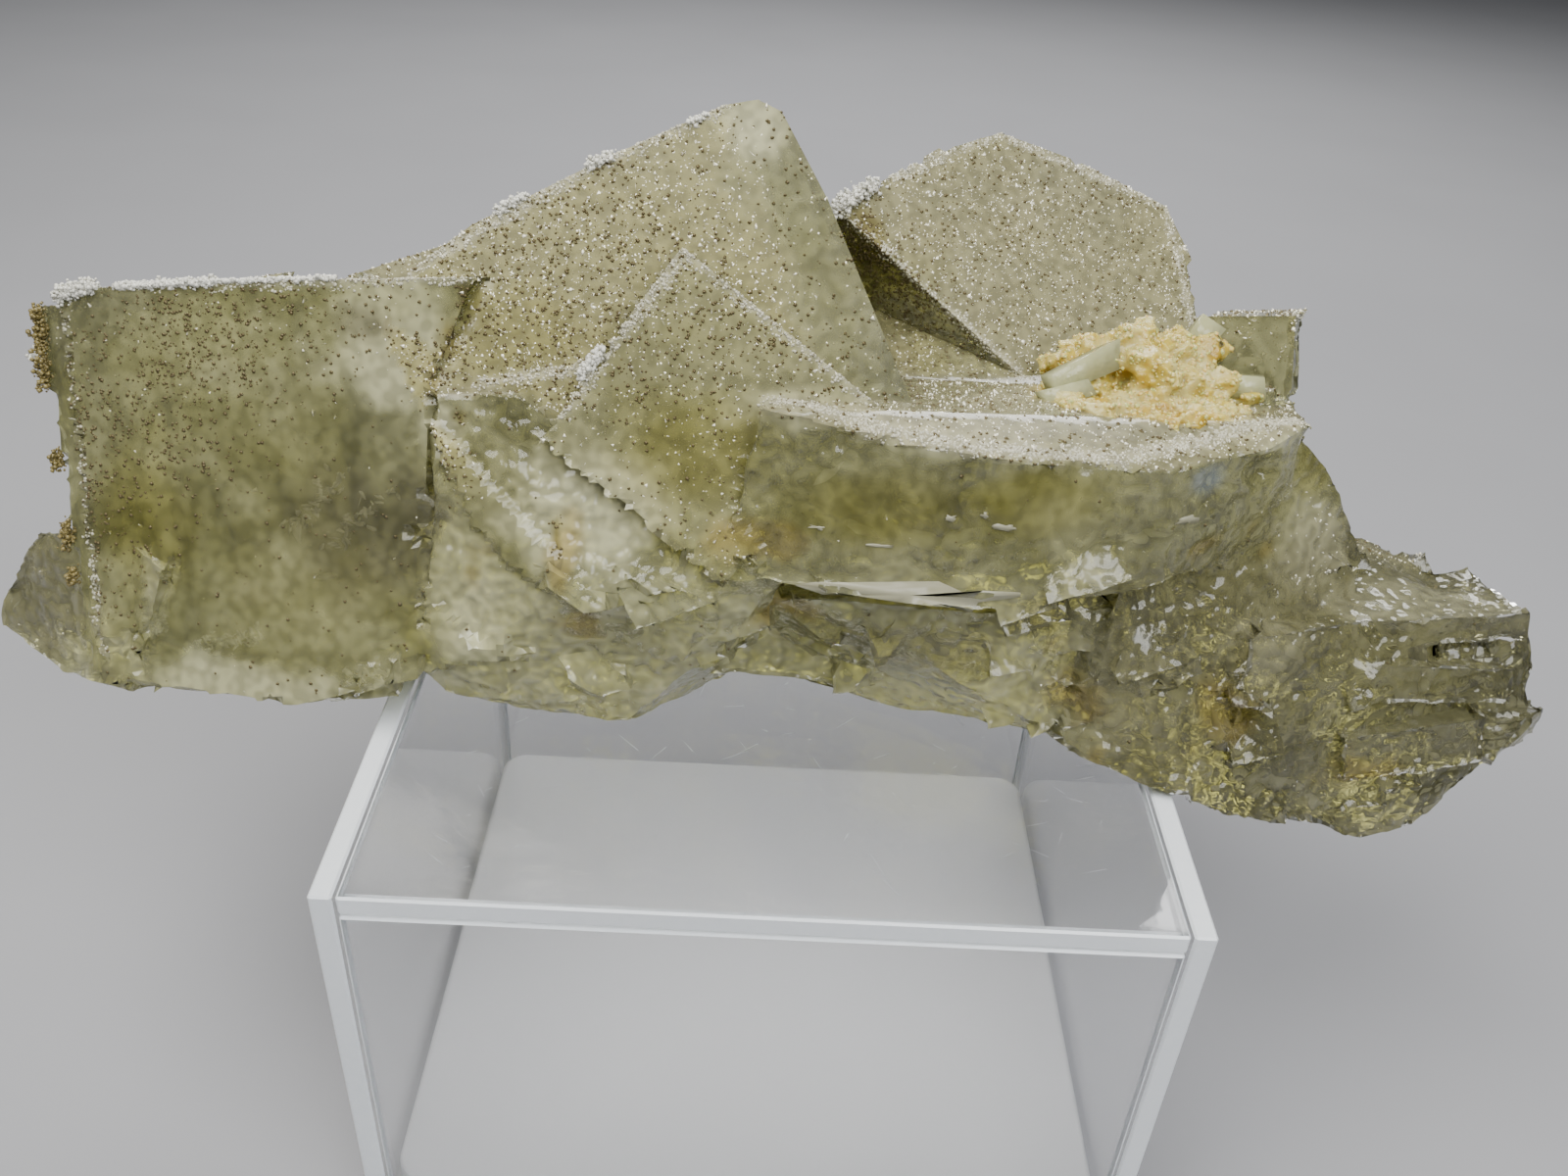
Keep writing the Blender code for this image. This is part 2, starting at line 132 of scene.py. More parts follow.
# The yellow crust's orange places and the clear plates in it: place, size and turn of each.
ORANGE = (
    ((26.7, 0.8, 78.4), (3.0, 3.0, 1.8)), ((34.0, -1.8, 78.6), (4.5, 3.0, 1.5)),
    ((38.3, 9.4, 81.6), (1.8, 3.0, 1.8)), ((29.5, 3.5, 80.6), (3.5, 3.0, 1.2)),
)
CLEAR_PLATES = (
    ((26.4, 3.2, 80.8), (8.4, 1.3, 3.0), (12.0, 32.0, 24.0)),
    ((24.6, 1.2, 79.2), (5.6, 1.2, 2.0), (8.0, 40.0, 16.0)),
    ((38.2, 8.6, 82.4), (3.2, 1.2, 3.4), (-15.0, 20.0, -28.0)),
    ((41.2, 4.2, 79.6), (4.6, 2.2, 2.6), (-10.0, 15.0, 6.0)),
)

# Bright cleavage just below the surface: a face, two places on it, how many flakes, how deep.
VEILS = (
    ("left", (0.9, -3.8), (7.5, 1.9), 40, 0.7), ("left", (4.5, -5.2), (11.5, 0.1), 40, 0.7),
    ("left", (-9.5, -14.4), (-3.0, -13.4), 60, 0.7), ("left", (-14.6, -12.7), (-12.0, -12.2), 20, 0.7),
    ("left", (5.5, -17.2), (11.0, -16.8), 40, 0.6), ("left", (14.0, 4.0), (19.0, 4.6), 40, 0.6),
)
VEIL_SPREAD = 0.55

# The white sheet at the foot of the front block, a real cleavage sheet whose paleness is also a painted
# highlight on the ledge, left to right: x, its lower and its upper edge.
SHEET_DEPTH = -13.4
SHEET_EDGES = (
    (1.2, 66.3, 66.6), (3.5, 65.6, 66.9), (6.5, 65.4, 67.2), (10.0, 65.3, 67.3), (13.5, 65.1, 67.3),
    (16.6, 64.9, 66.6), (17.0, 65.8, 66.9), (20.6, 66.4, 67.2),
)
CHIPS = (
    ((18.8, -12.4, 72.9), (1.5, 0.5)), ((13.8, -12.1, 73.4), (0.8, 0.4)), ((34.8, -9.5, 72.9), (1.7, 0.6)),
    ((16.6, -12.4, 73.9), (0.5, 0.4)), ((2.6, -12.9, 72.0), (1.2, 0.3)), ((7.9, -12.9, 70.6), (1.5, 0.25)),
)

# The fine mesh of the crystal.
REMESH_DEPTH = 8
REMESH_SCALE = 0.9
RELIEF_STEP = 0.32
RELIEF_FINE = 0.10
RELIEF_LIMIT = 1.8
TERRACE_SIZE = 6.0
TERRACE_BEND = 0.8
FACET_SIZE = 2.2
FACET_STEP = 0.22
RIPPLE_SIZE = 1.9
STRIA_SIZE = 1.1
STRIA_DEPTH = 0.16
SHARP_ANGLE = 28.0
BOX_MARGIN = 0.02

# The crystal's tints, each over the ones before it: a mask, its share and its colour.
PALE_CRYSTAL = (0.64, 0.64, 0.37)
OLIVE_CRYSTAL = (0.50, 0.48, 0.16)
TINTS = (
    ("milk", 0.5, (0.60, 0.58, 0.38)), ("druse", 0.75, (0.33, 0.29, 0.09)),
    # The smoky tint covers both smoky crystal and painted shade.
    ("rim", 0.6, (0.44, 0.42, 0.30)), ("smoke_and_shade", 0.6, (0.30, 0.28, 0.20)),
    # The brown tint is painted shade along the step between the left and great crystals and atop the ridge
    # face.
    ("stain", 0.6, (0.52, 0.38, 0.09)), ("brown", 0.7, (0.26, 0.21, 0.05)),
    ("yellow", 0.85, (0.62, 0.47, 0.10)), ("white", 0.95, (0.62, 0.70, 0.70)),
)
FLUORITE_IOR = 1.434
ACRYLIC_IOR = 1.49

# Grains on the crystal: how many, and how large.
DRUSE_GRAINS = 30000
DRUSE_SIZE = (0.10, 0.22)
SPARKLES = 17000
SPARKLE_SIZE = (0.18, 0.52)
SPECKS = 11000
SPECK_SIZE = (0.09, 0.26)
RIM_GRAINS = 7000
RIM_SIZE = (0.08, 0.26)
LUMP_SIZE = (0.12, 0.36)
CRUST_LUMPS = 420
CRUST_SIZE = (0.9, 2.6)
CRUST_STEP = 0.22
CRUST_GRAINS = 2600
CRUST_GRAIN_SIZE = (0.12, 0.38)
CRACKS = 420
FLAKE_SIDES = 7
FLAKE_THICKNESS = 0.03

# The riser.
EDGE_ROUND = 0.2
SCRATCHES = 220
SCRATCH_WIDTH = 0.05

# The studio: the floor's reach in metres, and each light's place, aim, size, power in watts and colour.
FLOOR_REACH = 1.6
LIGHTS = (
    ("key", (-150.0, -70.0, 430.0), (0.0, 0.0, 60.0), (340.0, 340.0), 2.9, (1.0, 0.985, 0.95)),
    ("front", (210.0, -300.0, 400.0), (0.0, 0.0, 40.0), (340.0, 300.0), 2.7, (0.97, 0.98, 1.0)),
    ("back", (60.0, 500.0, 420.0), (0.0, 0.0, 70.0), (400.0, 260.0), 3.2, (1.0, 1.0, 1.0)),
)
AMBIENT_COLOUR = (0.80, 0.84, 0.90, 1.0)
AMBIENT = 0.13


# Geometry by numbers

def turned(heading, tilt, roll):
    """The rotation, as 3 by 3 numbers, of a face that looks along -Y before it is turned."""
    heading, tilt, roll = (math.radians(angle) for angle in (heading, tilt, roll))
    lean = Matrix.Rotation(-tilt, 3, "X") @ Matrix.Rotation(-roll, 3, "Y")
    return np.array(Matrix.Rotation(heading, 3, "Z") @ lean)


def in_face(name, points):
    """Points in a crystal face's own axes: across, up, and out of the face."""
    face = FACES[name]
    local = (points - np.array(face["at"])) @ turned(*face["turn"])
    return local[:, 0], local[:, 2], -local[:, 1]


def from_face(name, across, up, out=0.0):
    face = FACES[name]
    return np.array(face["at"]) + turned(*face["turn"]) @ np.array((across, -out, up))


def face_normal(name):
    return turned(*FACES[name]["turn"]) @ np.array((0.0, -1.0, 0.0))


def hashed(cells, seed):
    """Repeatable numbers from 0 to 1 for whole-number cells."""
    cells = cells.astype(np.int64)
    mix = cells[..., 0] * 73856093 ^ cells[..., 1] * 19349663 ^ cells[..., 2] * 83492791 ^ (seed * 2654435761)
    mix = (mix ^ (mix >> 13)) * 1274126177
    mix = mix ^ (mix >> 16)
    return (mix & 0xFFFFFF) / float(0xFFFFFF)


def value_noise(points, size, seed):
    """Smooth noise from -1 to 1 whose lumps are about that size in millimetres."""
    scaled = points / size
    cell = np.floor(scaled)
    part = scaled - cell
    part = part * part * (3.0 - 2.0 * part)
    total = np.zeros(len(points))
    for corner in range(8):
        offset = np.array((corner & 1, corner >> 1 & 1, corner >> 2 & 1))
        weight = np.prod(np.where(offset, part, 1.0 - part), axis=1)
        total += weight * hashed(cell + offset, seed)
    return total * 2.0 - 1.0


def layered_noise(points, size, seed, layers=3):
    total = np.zeros(len(points))
    for layer in range(layers):
        total += value_noise(points, size / 2 ** layer, seed + layer) / 2 ** layer
    return total


def smoothstep(low, high, value):
    part = np.clip((value - low) / (high - low), 0.0, 1.0)
    return part * part * (3.0 - 2.0 * part)


def patches(points, places, ragged=0.25):
    """1 in the middle of each soft patch, falling to 0 a little beyond its reach, with a ragged edge."""
    rough = ragged * layered_noise(points, 3.0, 77)
    total = np.zeros(len(points))
    for middle, reach in places:
        distance = np.linalg.norm((points - np.array(middle)) / np.array(reach), axis=1)
        total = np.maximum(total, smoothstep(1.25, 0.45, distance + rough))
    return total


def near_line(points, start, end):
    """How far each point is from the straight line between two places."""
    start, run = np.array(start), np.array(end) - np.array(start)
    share = np.clip((points - start) @ run / (run @ run), 0.0, 1.0)
    return np.linalg.norm(points - start - share[:, None] * run, axis=1)


def rims(points):
    """1 along the frosted edges, with a ragged outer side."""
    rough = 0.35 * layered_noise(points, 1.6, 87, 2)
    total = np.zeros(len(points))
    lines = [(from_face(name, *start), from_face(name, *end), width) for name, start, end, width in FACE_RIMS]
    lines += [(start, end, PLATEAU_RIM_WIDTH) for start, end in zip(PLATEAU_RIM, PLATEAU_RIM[1:])]
    for start, end, width in lines:
        distance = near_line(points, start, end) / width + rough
        total = np.maximum(total, smoothstep(1.1, 0.5, distance))
    return total


# Meshes

def linked(name, mesh):
    obj = bpy.data.objects.new(name, mesh)
    bpy.context.scene.collection.objects.link(obj)
    return obj


def mesh_from(name, points, faces):
    """A mesh from points in millimetres and an array of faces that all have as many corners."""
    points = np.asarray(points, dtype=np.float32) * MM
    faces = np.asarray(faces, dtype=np.int32)
    corners = faces.shape[1]
    mesh = bpy.data.meshes.new(name)
    mesh.vertices.add(len(points))
    mesh.vertices.foreach_set("co", points.ravel())
    mesh.loops.add(faces.size)
    mesh.loops.foreach_set("vertex_index", faces.ravel())
    mesh.polygons.add(len(faces))
    mesh.polygons.foreach_set("loop_start", np.arange(0, faces.size, corners, dtype=np.int32))
    mesh.update(calc_edges=True)
    mesh.validate()
    return mesh


def arrays_of(mesh):
    points = np.empty(len(mesh.vertices) * 3, dtype=np.float32)
    mesh.vertices.foreach_get("co", points)
    normals = np.empty(len(mesh.vertices) * 3, dtype=np.float32)
    mesh.vertex_normals.foreach_get("vector", normals)
    return points.reshape(-1, 3).astype(float) / MM, normals.reshape(-1, 3).astype(float)


def set_points(mesh, points):
    mesh.vertices.foreach_set("co", (points * MM).astype(np.float32).ravel())
    mesh.update()


def grown_on_crystal(obj, material):
    obj.data.materials.append(material)
    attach(obj, "root")
    return obj


# Shader nodes

def new_material(name):
    made = bpy.data.materials.new(name)
    made.use_nodes = True
    return made, made.node_tree, made.node_tree.nodes["Principled BSDF"]


def noise(tree, size, detail=2.0, roughness=0.55, stretch=None):
    """Noise whose lumps are about that many millimetres, times the stretch along each axis."""
    place = tree.nodes.new("ShaderNodeTexCoord").outputs["Object"]
    if stretch:
        mapping = tree.nodes.new("ShaderNodeMapping")
        mapping.inputs["Scale"].default_value = [1.0 / side for side in stretch]
        tree.links.new(place, mapping.inputs["Vector"])
        place = mapping.outputs["Vector"]
    node = tree.nodes.new("ShaderNodeTexNoise")
    tree.links.new(place, node.inputs["Vector"])
    for name, value in (("Scale", 1.0 / (size * MM)), ("Detail", detail), ("Roughness", roughness)):
        node.inputs[name].default_value = value
    return node.outputs["Fac"]


def ramp(tree, value, stops):
    """Stops are (position, grey or colour)."""
    node = tree.nodes.new("ShaderNodeValToRGB")
    tree.links.new(value, node.inputs["Fac"])
    elements = node.color_ramp.elements
    while len(elements) < len(stops):
        elements.new(0.5)
    for element, (position, colour) in zip(elements, stops):
        element.position = position
        grey = isinstance(colour, (int, float))
        element.color = (colour, colour, colour, 1.0) if grey else (*colour, 1.0)
    return node.outputs["Color"]


def feed(tree, socket, value):
    """Links a socket, or sets a number or colour."""
    if isinstance(value, bpy.types.NodeSocket):
        tree.links.new(value, socket)
    elif isinstance(value, (int, float)):
        socket.default_value = value
    else:
        socket.default_value = (*value, 1.0)


def blended(tree, share, first, second):
    node = tree.nodes.new("ShaderNodeMix")
    node.data_type = "RGBA"
    feed(tree, node.inputs[0], share)
    feed(tree, node.inputs[6], first)
    feed(tree, node.inputs[7], second)
    return node.outputs[2]


def multiplied(tree, first, second):
    made = blended(tree, 1.0, first, second)
    made.node.blend_type = "MULTIPLY"
    return made


def maths(tree, operation, first, second, clamp=False):
    node = tree.nodes.new("ShaderNodeMath")
    node.operation = operation
    node.use_clamp = clamp
    feed(tree, node.inputs[0], first)
    feed(tree, node.inputs[1], second)
    return node.outputs[0]


def mask(tree, name, share=1.0):
    node = tree.nodes.new("ShaderNodeAttribute")
    node.attribute_name = name
    return node.outputs["Fac"] if share == 1.0 else maths(tree, "MULTIPLY", node.outputs["Fac"], share)


def bumped(tree, shader, layers):
    """Chains bumps of (height socket, depth in millimetres, strength) into the shader's normal."""
    normal = None
    for height, depth, strength in layers:
        node = tree.nodes.new("ShaderNodeBump")
        tree.links.new(height, node.inputs["Height"])
        node.inputs["Distance"].default_value = depth * MM
        node.inputs["Strength"].default_value = strength
        if normal:
            tree.links.new(normal, node.inputs["Normal"])
        normal = node.outputs["Normal"]
    tree.links.new(normal, shader.inputs["Normal"])


# The crystal

def remeshed(obj, mode, settings):
    """Gives the object the mesh that a remesh makes of it."""
    remesh = obj.modifiers.new("remesh", "REMESH")
    remesh.mode = mode
    for name, value in settings.items():
        setattr(remesh, name, value)
    graph = bpy.context.evaluated_depsgraph_get()
    fine = bpy.data.meshes.new_from_object(obj.evaluated_get(graph))
    obj.modifiers.clear()
    obj.data = fine


def shell_of(obj):
    """A search tree over a mesh, in millimetres."""
    points, _ = arrays_of(obj.data)
    return BVHTree.FromPolygons(points.tolist(), [list(polygon.vertices) for polygon in obj.data.polygons])


def laid_on(shell, points):
    """The nearest places on a surface, and its normals there."""
    found = [shell.find_nearest(Vector(point))[:2] for point in points]
    return np.array([place for place, _ in found]), np.array([normal for _, normal in found])


def fine_crystal():
    """The cluster's own shape, divided finely enough for relief on its broken faces."""
    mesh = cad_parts["fluorite_cluster"].data.copy()
    bm = bmesh.new()
    bm.from_mesh(mesh)
    bmesh.ops.remove_doubles(bm, verts=bm.verts, dist=1e-7)
    bm.to_mesh(mesh)
    bm.free()
    mesh.materials.clear()
    obj = linked("fluorite_crystals", mesh)
    shell = shell_of(obj)
    remeshed(obj, "SHARP", {"octree_depth": REMESH_DEPTH, "scale": REMESH_SCALE})
    points, normals = laid_on(shell, arrays_of(obj.data)[0])
    set_points(obj.data, points)
    return obj, points, normals


def face_share(name, points, normals):
    """1 on that crystal face and 0 elsewhere."""
    across, up, out = in_face(name, points)
    left, right, low, high = FACES[name]["reach"]
    inside = (across > left - 1) & (across < right + 1) & (up > low - 1) & (up < high + 1)
    flat = normals @ face_normal(name) > 0.9
    return (inside & flat & (np.abs(out) < FACE_SLACK)).astype(float)


def crystal_masks(points, normals):
    """Where each look of the crystal is found, one number a vertex."""
    on = {name: face_share(name, points, normals) for name in FACES}
    flat = np.clip(sum(on.values()), 0.0, 1.0)
    x, y, z = points.T
    cloud = layered_noise(points, 9.0, 3)
    blotch = layered_noise(points, 3.5, 9)
    upward = smoothstep(0.5, 0.8, normals[:, 2])
    shelf = upward * smoothstep(75.0, 77.5, z)
    rear_top = upward * smoothstep(6.0, 9.0, y) * smoothstep(56.0, 62.0, z)
    crust = np.maximum(shelf, rear_top)
    ridge = (normals @ np.array(RIDGE_NORMAL) > 0.9) & (x > 0) & (z > 74) & (y > 5)
    yellow = smoothstep(1.15, 0.9, np.linalg.norm((points - np.array(CRUST[0])) / np.array(CRUST[1]), axis=1))
    yellow *= z > 75.5
    left_across, left_up, _ = in_face("left", points)
    great_across, great_up, _ = in_face("great", points)
    corner_across, corner_up, _ = in_face("corner", points)
    peak = smoothstep(-2.0, 12.0, corner_across + corner_up)
    bare_foot = smoothstep(3.0, -4.0, great_up) * (great_across < 0.0)

    bare_side = smoothstep(10.5, 14.0, great_across + 1.5 * blotch)
    druse = on["great"] * (1.0 - 0.85 * bare_side) * (1.0 - bare_foot)
    druse = np.maximum(druse, on["back"] * (0.8 + 0.2 * blotch))
    druse = np.maximum(druse, on["corner"] * (0.30 + 0.35 * peak))
    druse = np.maximum(druse, on["side"] * 0.35 * smoothstep(-2.0, 1.0, z - 81.0))
    druse = np.maximum(druse, on["left"] * 0.10 * smoothstep(4.0, 16.0, left_up))
    druse = np.maximum(druse, crust * (0.55 + 0.3 * blotch))
    druse = np.maximum(druse, patches(points, MILKY[:1]) * 0.25)
    left_specks = 0.06 + smoothstep(-2.0, 16.0, left_up - 0.9 * left_across)
    specks = on["left"] * left_specks * (0.55 + 0.45 * cloud)
    great_specks = 0.6 - 0.45 * smoothstep(0.0, 12.0, great_across)
    specks = np.maximum(specks, on["great"] * great_specks * (1.0 - bare_foot))
    specks = np.maximum(specks, on["corner"] * (0.10 + 0.5 * peak))
    specks = np.maximum(specks, on["back"] * 0.04)
    # Real dark specks, crowded on the ridge face that turns from the lamps and thickest near its top, and
    # along the step by the left crystal, so that there they also stand in as painted shade.
    specks = np.maximum(specks, ridge * (0.7 + 1.6 * smoothstep(80.0, 86.0, z)))
    specks = np.maximum(specks, crust * 0.22)
    specks = np.maximum(specks, patches(points, SEAM_SHADE_AND_SPECKS) * 1.5)
    broken = (1.0 - flat) * (1.0 - crust) * (1.0 - ridge)

    olive = 0.30 + 0.30 * cloud
    olive = np.maximum(olive, patches(points, OLIVE, 0.15))
    milk = np.clip(0.15 + 0.25 * cloud + 0.2 * blotch, 0.0, 0.6)
    milk += 0.42 * broken * smoothstep(72.0, 63.0, z) * smoothstep(44.0, 22.0, x)
    milk = np.maximum(milk, patches(points, MILKY))
    milk = np.maximum(milk, 0.15 * on["back"] + 0.15 * on["great"] * smoothstep(0.0, 15.0, great_up))
    milk = np.maximum(milk, crust * 0.35)
    stain = patches(points, STAINED, 0.5)
    stain = np.maximum(stain, 0.8 * smoothstep(0.85, 1.25, layered_noise(points, 5.0, 21)) * broken)
    # Smoky patches are the crystal's own colour. The darkening of the lower right end, which lies in shade,
    # and of the plateau's upward faces is painted shade.
    smoke_and_shade = np.maximum(patches(points, SMOKY), smoothstep(18.0, 34.0, x) * smoothstep(72.0, 65.0, z))
    milk *= 1.0 - 0.5 * smoke_and_shade
    smoke_and_shade = np.maximum(smoke_and_shade, 0.8 * shelf)
    # A darker line painted along the left face's left edge, as painted shade in that crease.
    groove = np.zeros(len(points))
    groove[(np.abs(left_across + 18.4) < 0.6) & (on["left"] + on["band"] > 0)] = 1.0
    striated = broken * patches(points, OLIVE[:2], 0.1)
    return dict(
        druse=np.clip(druse, 0, 1), specks=np.clip(specks, 0, 3), broken=broken,
        smoke_and_shade=np.clip(smoke_and_shade + 0.6 * groove, 0, 1), olive=np.clip(olive, 0, 1),
        milk=np.clip(milk, 0, 1), stain=np.clip(stain, 0, 1), yellow=yellow,
        # The brown mask is painted shade along that step and atop the ridge face.
        brown=patches(points, SEAM_SHADE_AND_SPECKS, 0.4), white=patches(points, WHITE_SPOT, 0.1), rim=rims(points),
        flat=flat, ripple=np.clip(broken * (1.0 - striated) + 0.08 * flat, 0, 1), striated=striated,
    )


def add_relief(points, normals, masks):
    """Cleavage terraces and small facets where it is broken, a slight ripple elsewhere, always inwards."""
    bend = np.stack([value_noise(points, 3.0, seed) for seed in (31, 32, 33)], axis=1)
    bent = points + TERRACE_BEND * bend
    terraces = layered_noise(bent * np.array((1.0, 1.0, 1.6)), TERRACE_SIZE, 41, 2) * 2.4
    terraces = 0.5 * terraces + 0.5 * np.floor(terraces * 2.2) / 2.2
    facets = hashed(np.floor(bent / FACET_SIZE), 43) * FACET_STEP
    depth = (RELIEF_STEP * (1.2 - 0.5 * terraces) + facets) * masks["broken"] * (1.0 - masks["striated"])
    depth += RELIEF_FINE * (1.0 + value_noise(points, RIPPLE_SIZE, 51)) * masks["ripple"]
    stria = 1.0 + value_noise(points * np.array((1.0, 1.0, 0.08)), STRIA_SIZE, 61)
    depth += STRIA_DEPTH * stria * masks["striated"]
    middle, reach = (np.array(part) for part in DIMPLE)
    depth += DIMPLE_DEPTH * smoothstep(1.05, 0.2, np.linalg.norm((points - middle) / reach, axis=1))
    low, high = (np.array(corner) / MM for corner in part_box("fluorite_cluster"))
    lowered = points - normals * np.clip(depth, 0.0, RELIEF_LIMIT)[:, None]
    return np.clip(lowered, low + BOX_MARGIN, high - BOX_MARGIN)


def store_masks(mesh, masks):
    for name, values in masks.items():
        layer = mesh.attributes.new(name, "FLOAT", "POINT")
        layer.data.foreach_set("value", values.astype(np.float32))


def crystal_material():
    made, tree, shader = new_material("fluorite")
    colour = blended(tree, mask(tree, "olive"), PALE_CRYSTAL, OLIVE_CRYSTAL)
    for name, share, tint in TINTS:
        colour = blended(tree, mask(tree, name, share), colour, tint)
    tone = ramp(tree, noise(tree, 1.0, 0.0), ((0.35, 0.60), (0.65, 0.86)))
    tree.links.new(multiplied(tree, colour, tone), shader.inputs["Base Color"])
    roughness = maths(tree, "ADD", mask(tree, "druse", 0.16), mask(tree, "flat", 0.12))
    tree.links.new(maths(tree, "ADD", roughness, 0.08), shader.inputs["Roughness"])
    dull = mask(tree, "milk", 0.55)
    for name, share in (("druse", 0.42), ("yellow", 0.5), ("rim", 0.4)):
        dull = maths(tree, "ADD", dull, mask(tree, name, share))
    tree.links.new(maths(tree, "SUBTRACT", 0.86, dull, True), shader.inputs["Transmission Weight"])
    shader.inputs["IOR"].default_value = FLUORITE_IOR
    shader.inputs["Coat Weight"].default_value = 0.25
    shader.inputs["Coat Roughness"].default_value = 0.06
    ripple = maths(tree, "MULTIPLY", noise(tree, 1.0, 0.0), mask(tree, "ripple"))
    bumped(tree, shader, ((ripple, 0.55, 0.65),))
    absorb = tree.nodes.new("ShaderNodeVolumeAbsorption")
    absorb.inputs["Color"].default_value = (0.80, 0.79, 0.45, 1.0)
    absorb.inputs["Density"].default_value = 80.0
    tree.links.new(absorb.outputs["Volume"], tree.nodes["Material Output"].inputs["Volume"])
    return made


def build_crystal():
    obj, points, normals = fine_crystal()
    masks = crystal_masks(points, normals)
    set_points(obj.data, add_relief(points, arrays_of(obj.data)[1], masks))
    store_masks(obj.data, masks)
    obj.data.shade_smooth()
    obj.data.set_sharp_from_angle(angle=math.radians(SHARP_ANGLE))
    grown_on_crystal(obj, crystal_material())
    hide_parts("fluorite_cluster")
    return obj, masks


# Grains

TIP_POINTS = ((0.62, 0.0, -0.5), (-0.31, 0.54, -0.5), (-0.31, -0.54, -0.5), (0.0, 0.0, 0.75))
TIP_FACES = ((0, 2, 1), (0, 1, 3), (1, 2, 3), (2, 0, 3))
BLOCK_POINTS = tuple((x, y, z) for x in (-0.5, 0.5) for y in (-0.5, 0.5) for z in (-0.5, 0.5))
BLOCK_FACES = ((0, 1, 3, 2), (4, 6, 7, 5), (0, 4, 5, 1), (2, 3, 7, 6), (0, 2, 6, 4), (1, 5, 7, 3))


def scattered(rng, obj, weight, count):
    """Spots and normals over the mesh, as dense as the weight at each vertex."""
    mesh = obj.data
    mesh.calc_loop_triangles()
    corners = np.empty(len(mesh.loop_triangles) * 3, dtype=np.int32)
    mesh.loop_triangles.foreach_get("vertices", corners)
    corners = corners.reshape(-1, 3)
    points, _ = arrays_of(mesh)
    a, b, c = (points[corners[:, side]] for side in range(3))
    cross = np.cross(b - a, c - a)
    area = np.linalg.norm(cross, axis=1)
    share = area * weight[corners].mean(axis=1)
    picked = rng.choice(len(corners), size=count, p=share / share.sum())
    first = np.sqrt(rng.random(count))[:, None]
    second = rng.random(count)[:, None]
    spot = a[picked] * (1 - first) + b[picked] * (first * (1 - second)) + c[picked] * (first * second)
    normal = cross[picked] / np.maximum(area[picked], 1e-12)[:, None]
    return spot, normal


def kept_inside(placed):
    """The grains that stay inside the box of the part's own crystal."""
    low, high = (np.array(corner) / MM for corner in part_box("fluorite_cluster"))
    return placed[((placed > low) & (placed < high)).all(axis=(1, 2))]


def grains_mesh(rng, name, spots, normals, sizes, points, faces, lean=0.5, sink=0.3, stretch=(1.0, 1.0)):
    """One mesh of small crystals, each the same few points turned and sized its own way."""
    count = len(spots)
    axis = normals + lean * rng.normal(size=(count, 3))
    axis /= np.linalg.norm(axis, axis=1)[:, None]
    side = np.cross(axis, rng.normal(size=(count, 3)))
    side /= np.linalg.norm(side, axis=1)[:, None]
    third = np.cross(axis, side)
    size = sizes[0] + (sizes[1] - sizes[0]) * rng.random(count) ** 1.7
    tall = size * rng.uniform(*stretch, size=count)
    points = np.array(points)
    placed = (
        (spots - normals * (sink * size)[:, None])[:, None, :]
        + points[None, :, 0, None] * (side * size[:, None])[:, None, :]
        + points[None, :, 1, None] * (third * size[:, None])[:, None, :]
        + points[None, :, 2, None] * (axis * tall[:, None])[:, None, :]
    )
    placed = kept_inside(placed)
    faces = np.array(faces)
    index = faces[None] + (np.arange(len(placed)) * len(points))[:, None, None]
    return linked(name, mesh_from(name, placed.reshape(-1, 3), index.reshape(-1, faces.shape[1])))


def grain_material(name, colour, roughness, metallic=0.0, vary=0.15, subsurface=0.0):
    made, tree, shader = new_material(name)
    pale = tuple(min(1.0, part * (1 + vary)) for part in colour)
    dark = tuple(part * (1 - vary) for part in colour)
    tree.links.new(blended(tree, noise(tree, 0.9), dark, pale), shader.inputs["Base Color"])
    shader.inputs["Roughness"].default_value = roughness
    shader.inputs["Metallic"].default_value = metallic
    shader.inputs["Subsurface Weight"].default_value = subsurface
    shader.inputs["Subsurface Scale"].default_value = 0.6 * MM
    return made


def build_druse(crystal, masks):
    rng = np.random.default_rng(7)
    weight = masks["druse"] ** 1.2 + 0.004
    spots, normals = scattered(rng, crystal, weight, DRUSE_GRAINS)
    bed = grains_mesh(rng, "quartz_druse", spots, normals, DRUSE_SIZE, TIP_POINTS, TIP_FACES, lean=0.6)
    grown_on_crystal(bed, grain_material("quartz druse", (0.34, 0.31, 0.15), 0.2, vary=0.35))
    spots, normals = scattered(rng, crystal, weight, SPARKLES)
    bright = grains_mesh(rng, "bright_quartz", spots, normals, SPARKLE_SIZE, TIP_POINTS, TIP_FACES, lean=0.8)
    grown_on_crystal(bright, grain_material("bright quartz", (0.94, 0.90, 0.72), 0.08, 0.2, 0.06))


def build_specks(crystal, masks):
    rng = np.random.default_rng(8)
    spots, normals = scattered(rng, crystal, masks["specks"] + 0.004, SPECKS)
    specks = grains_mesh(rng, "pyrite_specks", spots, normals, SPECK_SIZE, BLOCK_POINTS, BLOCK_FACES, 0.8,
                         0.1)
    grown_on_crystal(specks, grain_material("pyrite", (0.11, 0.085, 0.035), 0.32, 0.5, 0.3))


def along(rng, start, end, count, spread):
    """Spots scattered about a straight line."""
    share = rng.random(count)[:, None]
    return np.array(start) * (1 - share) + np.array(end) * share + rng.normal(size=(count, 3)) * spread


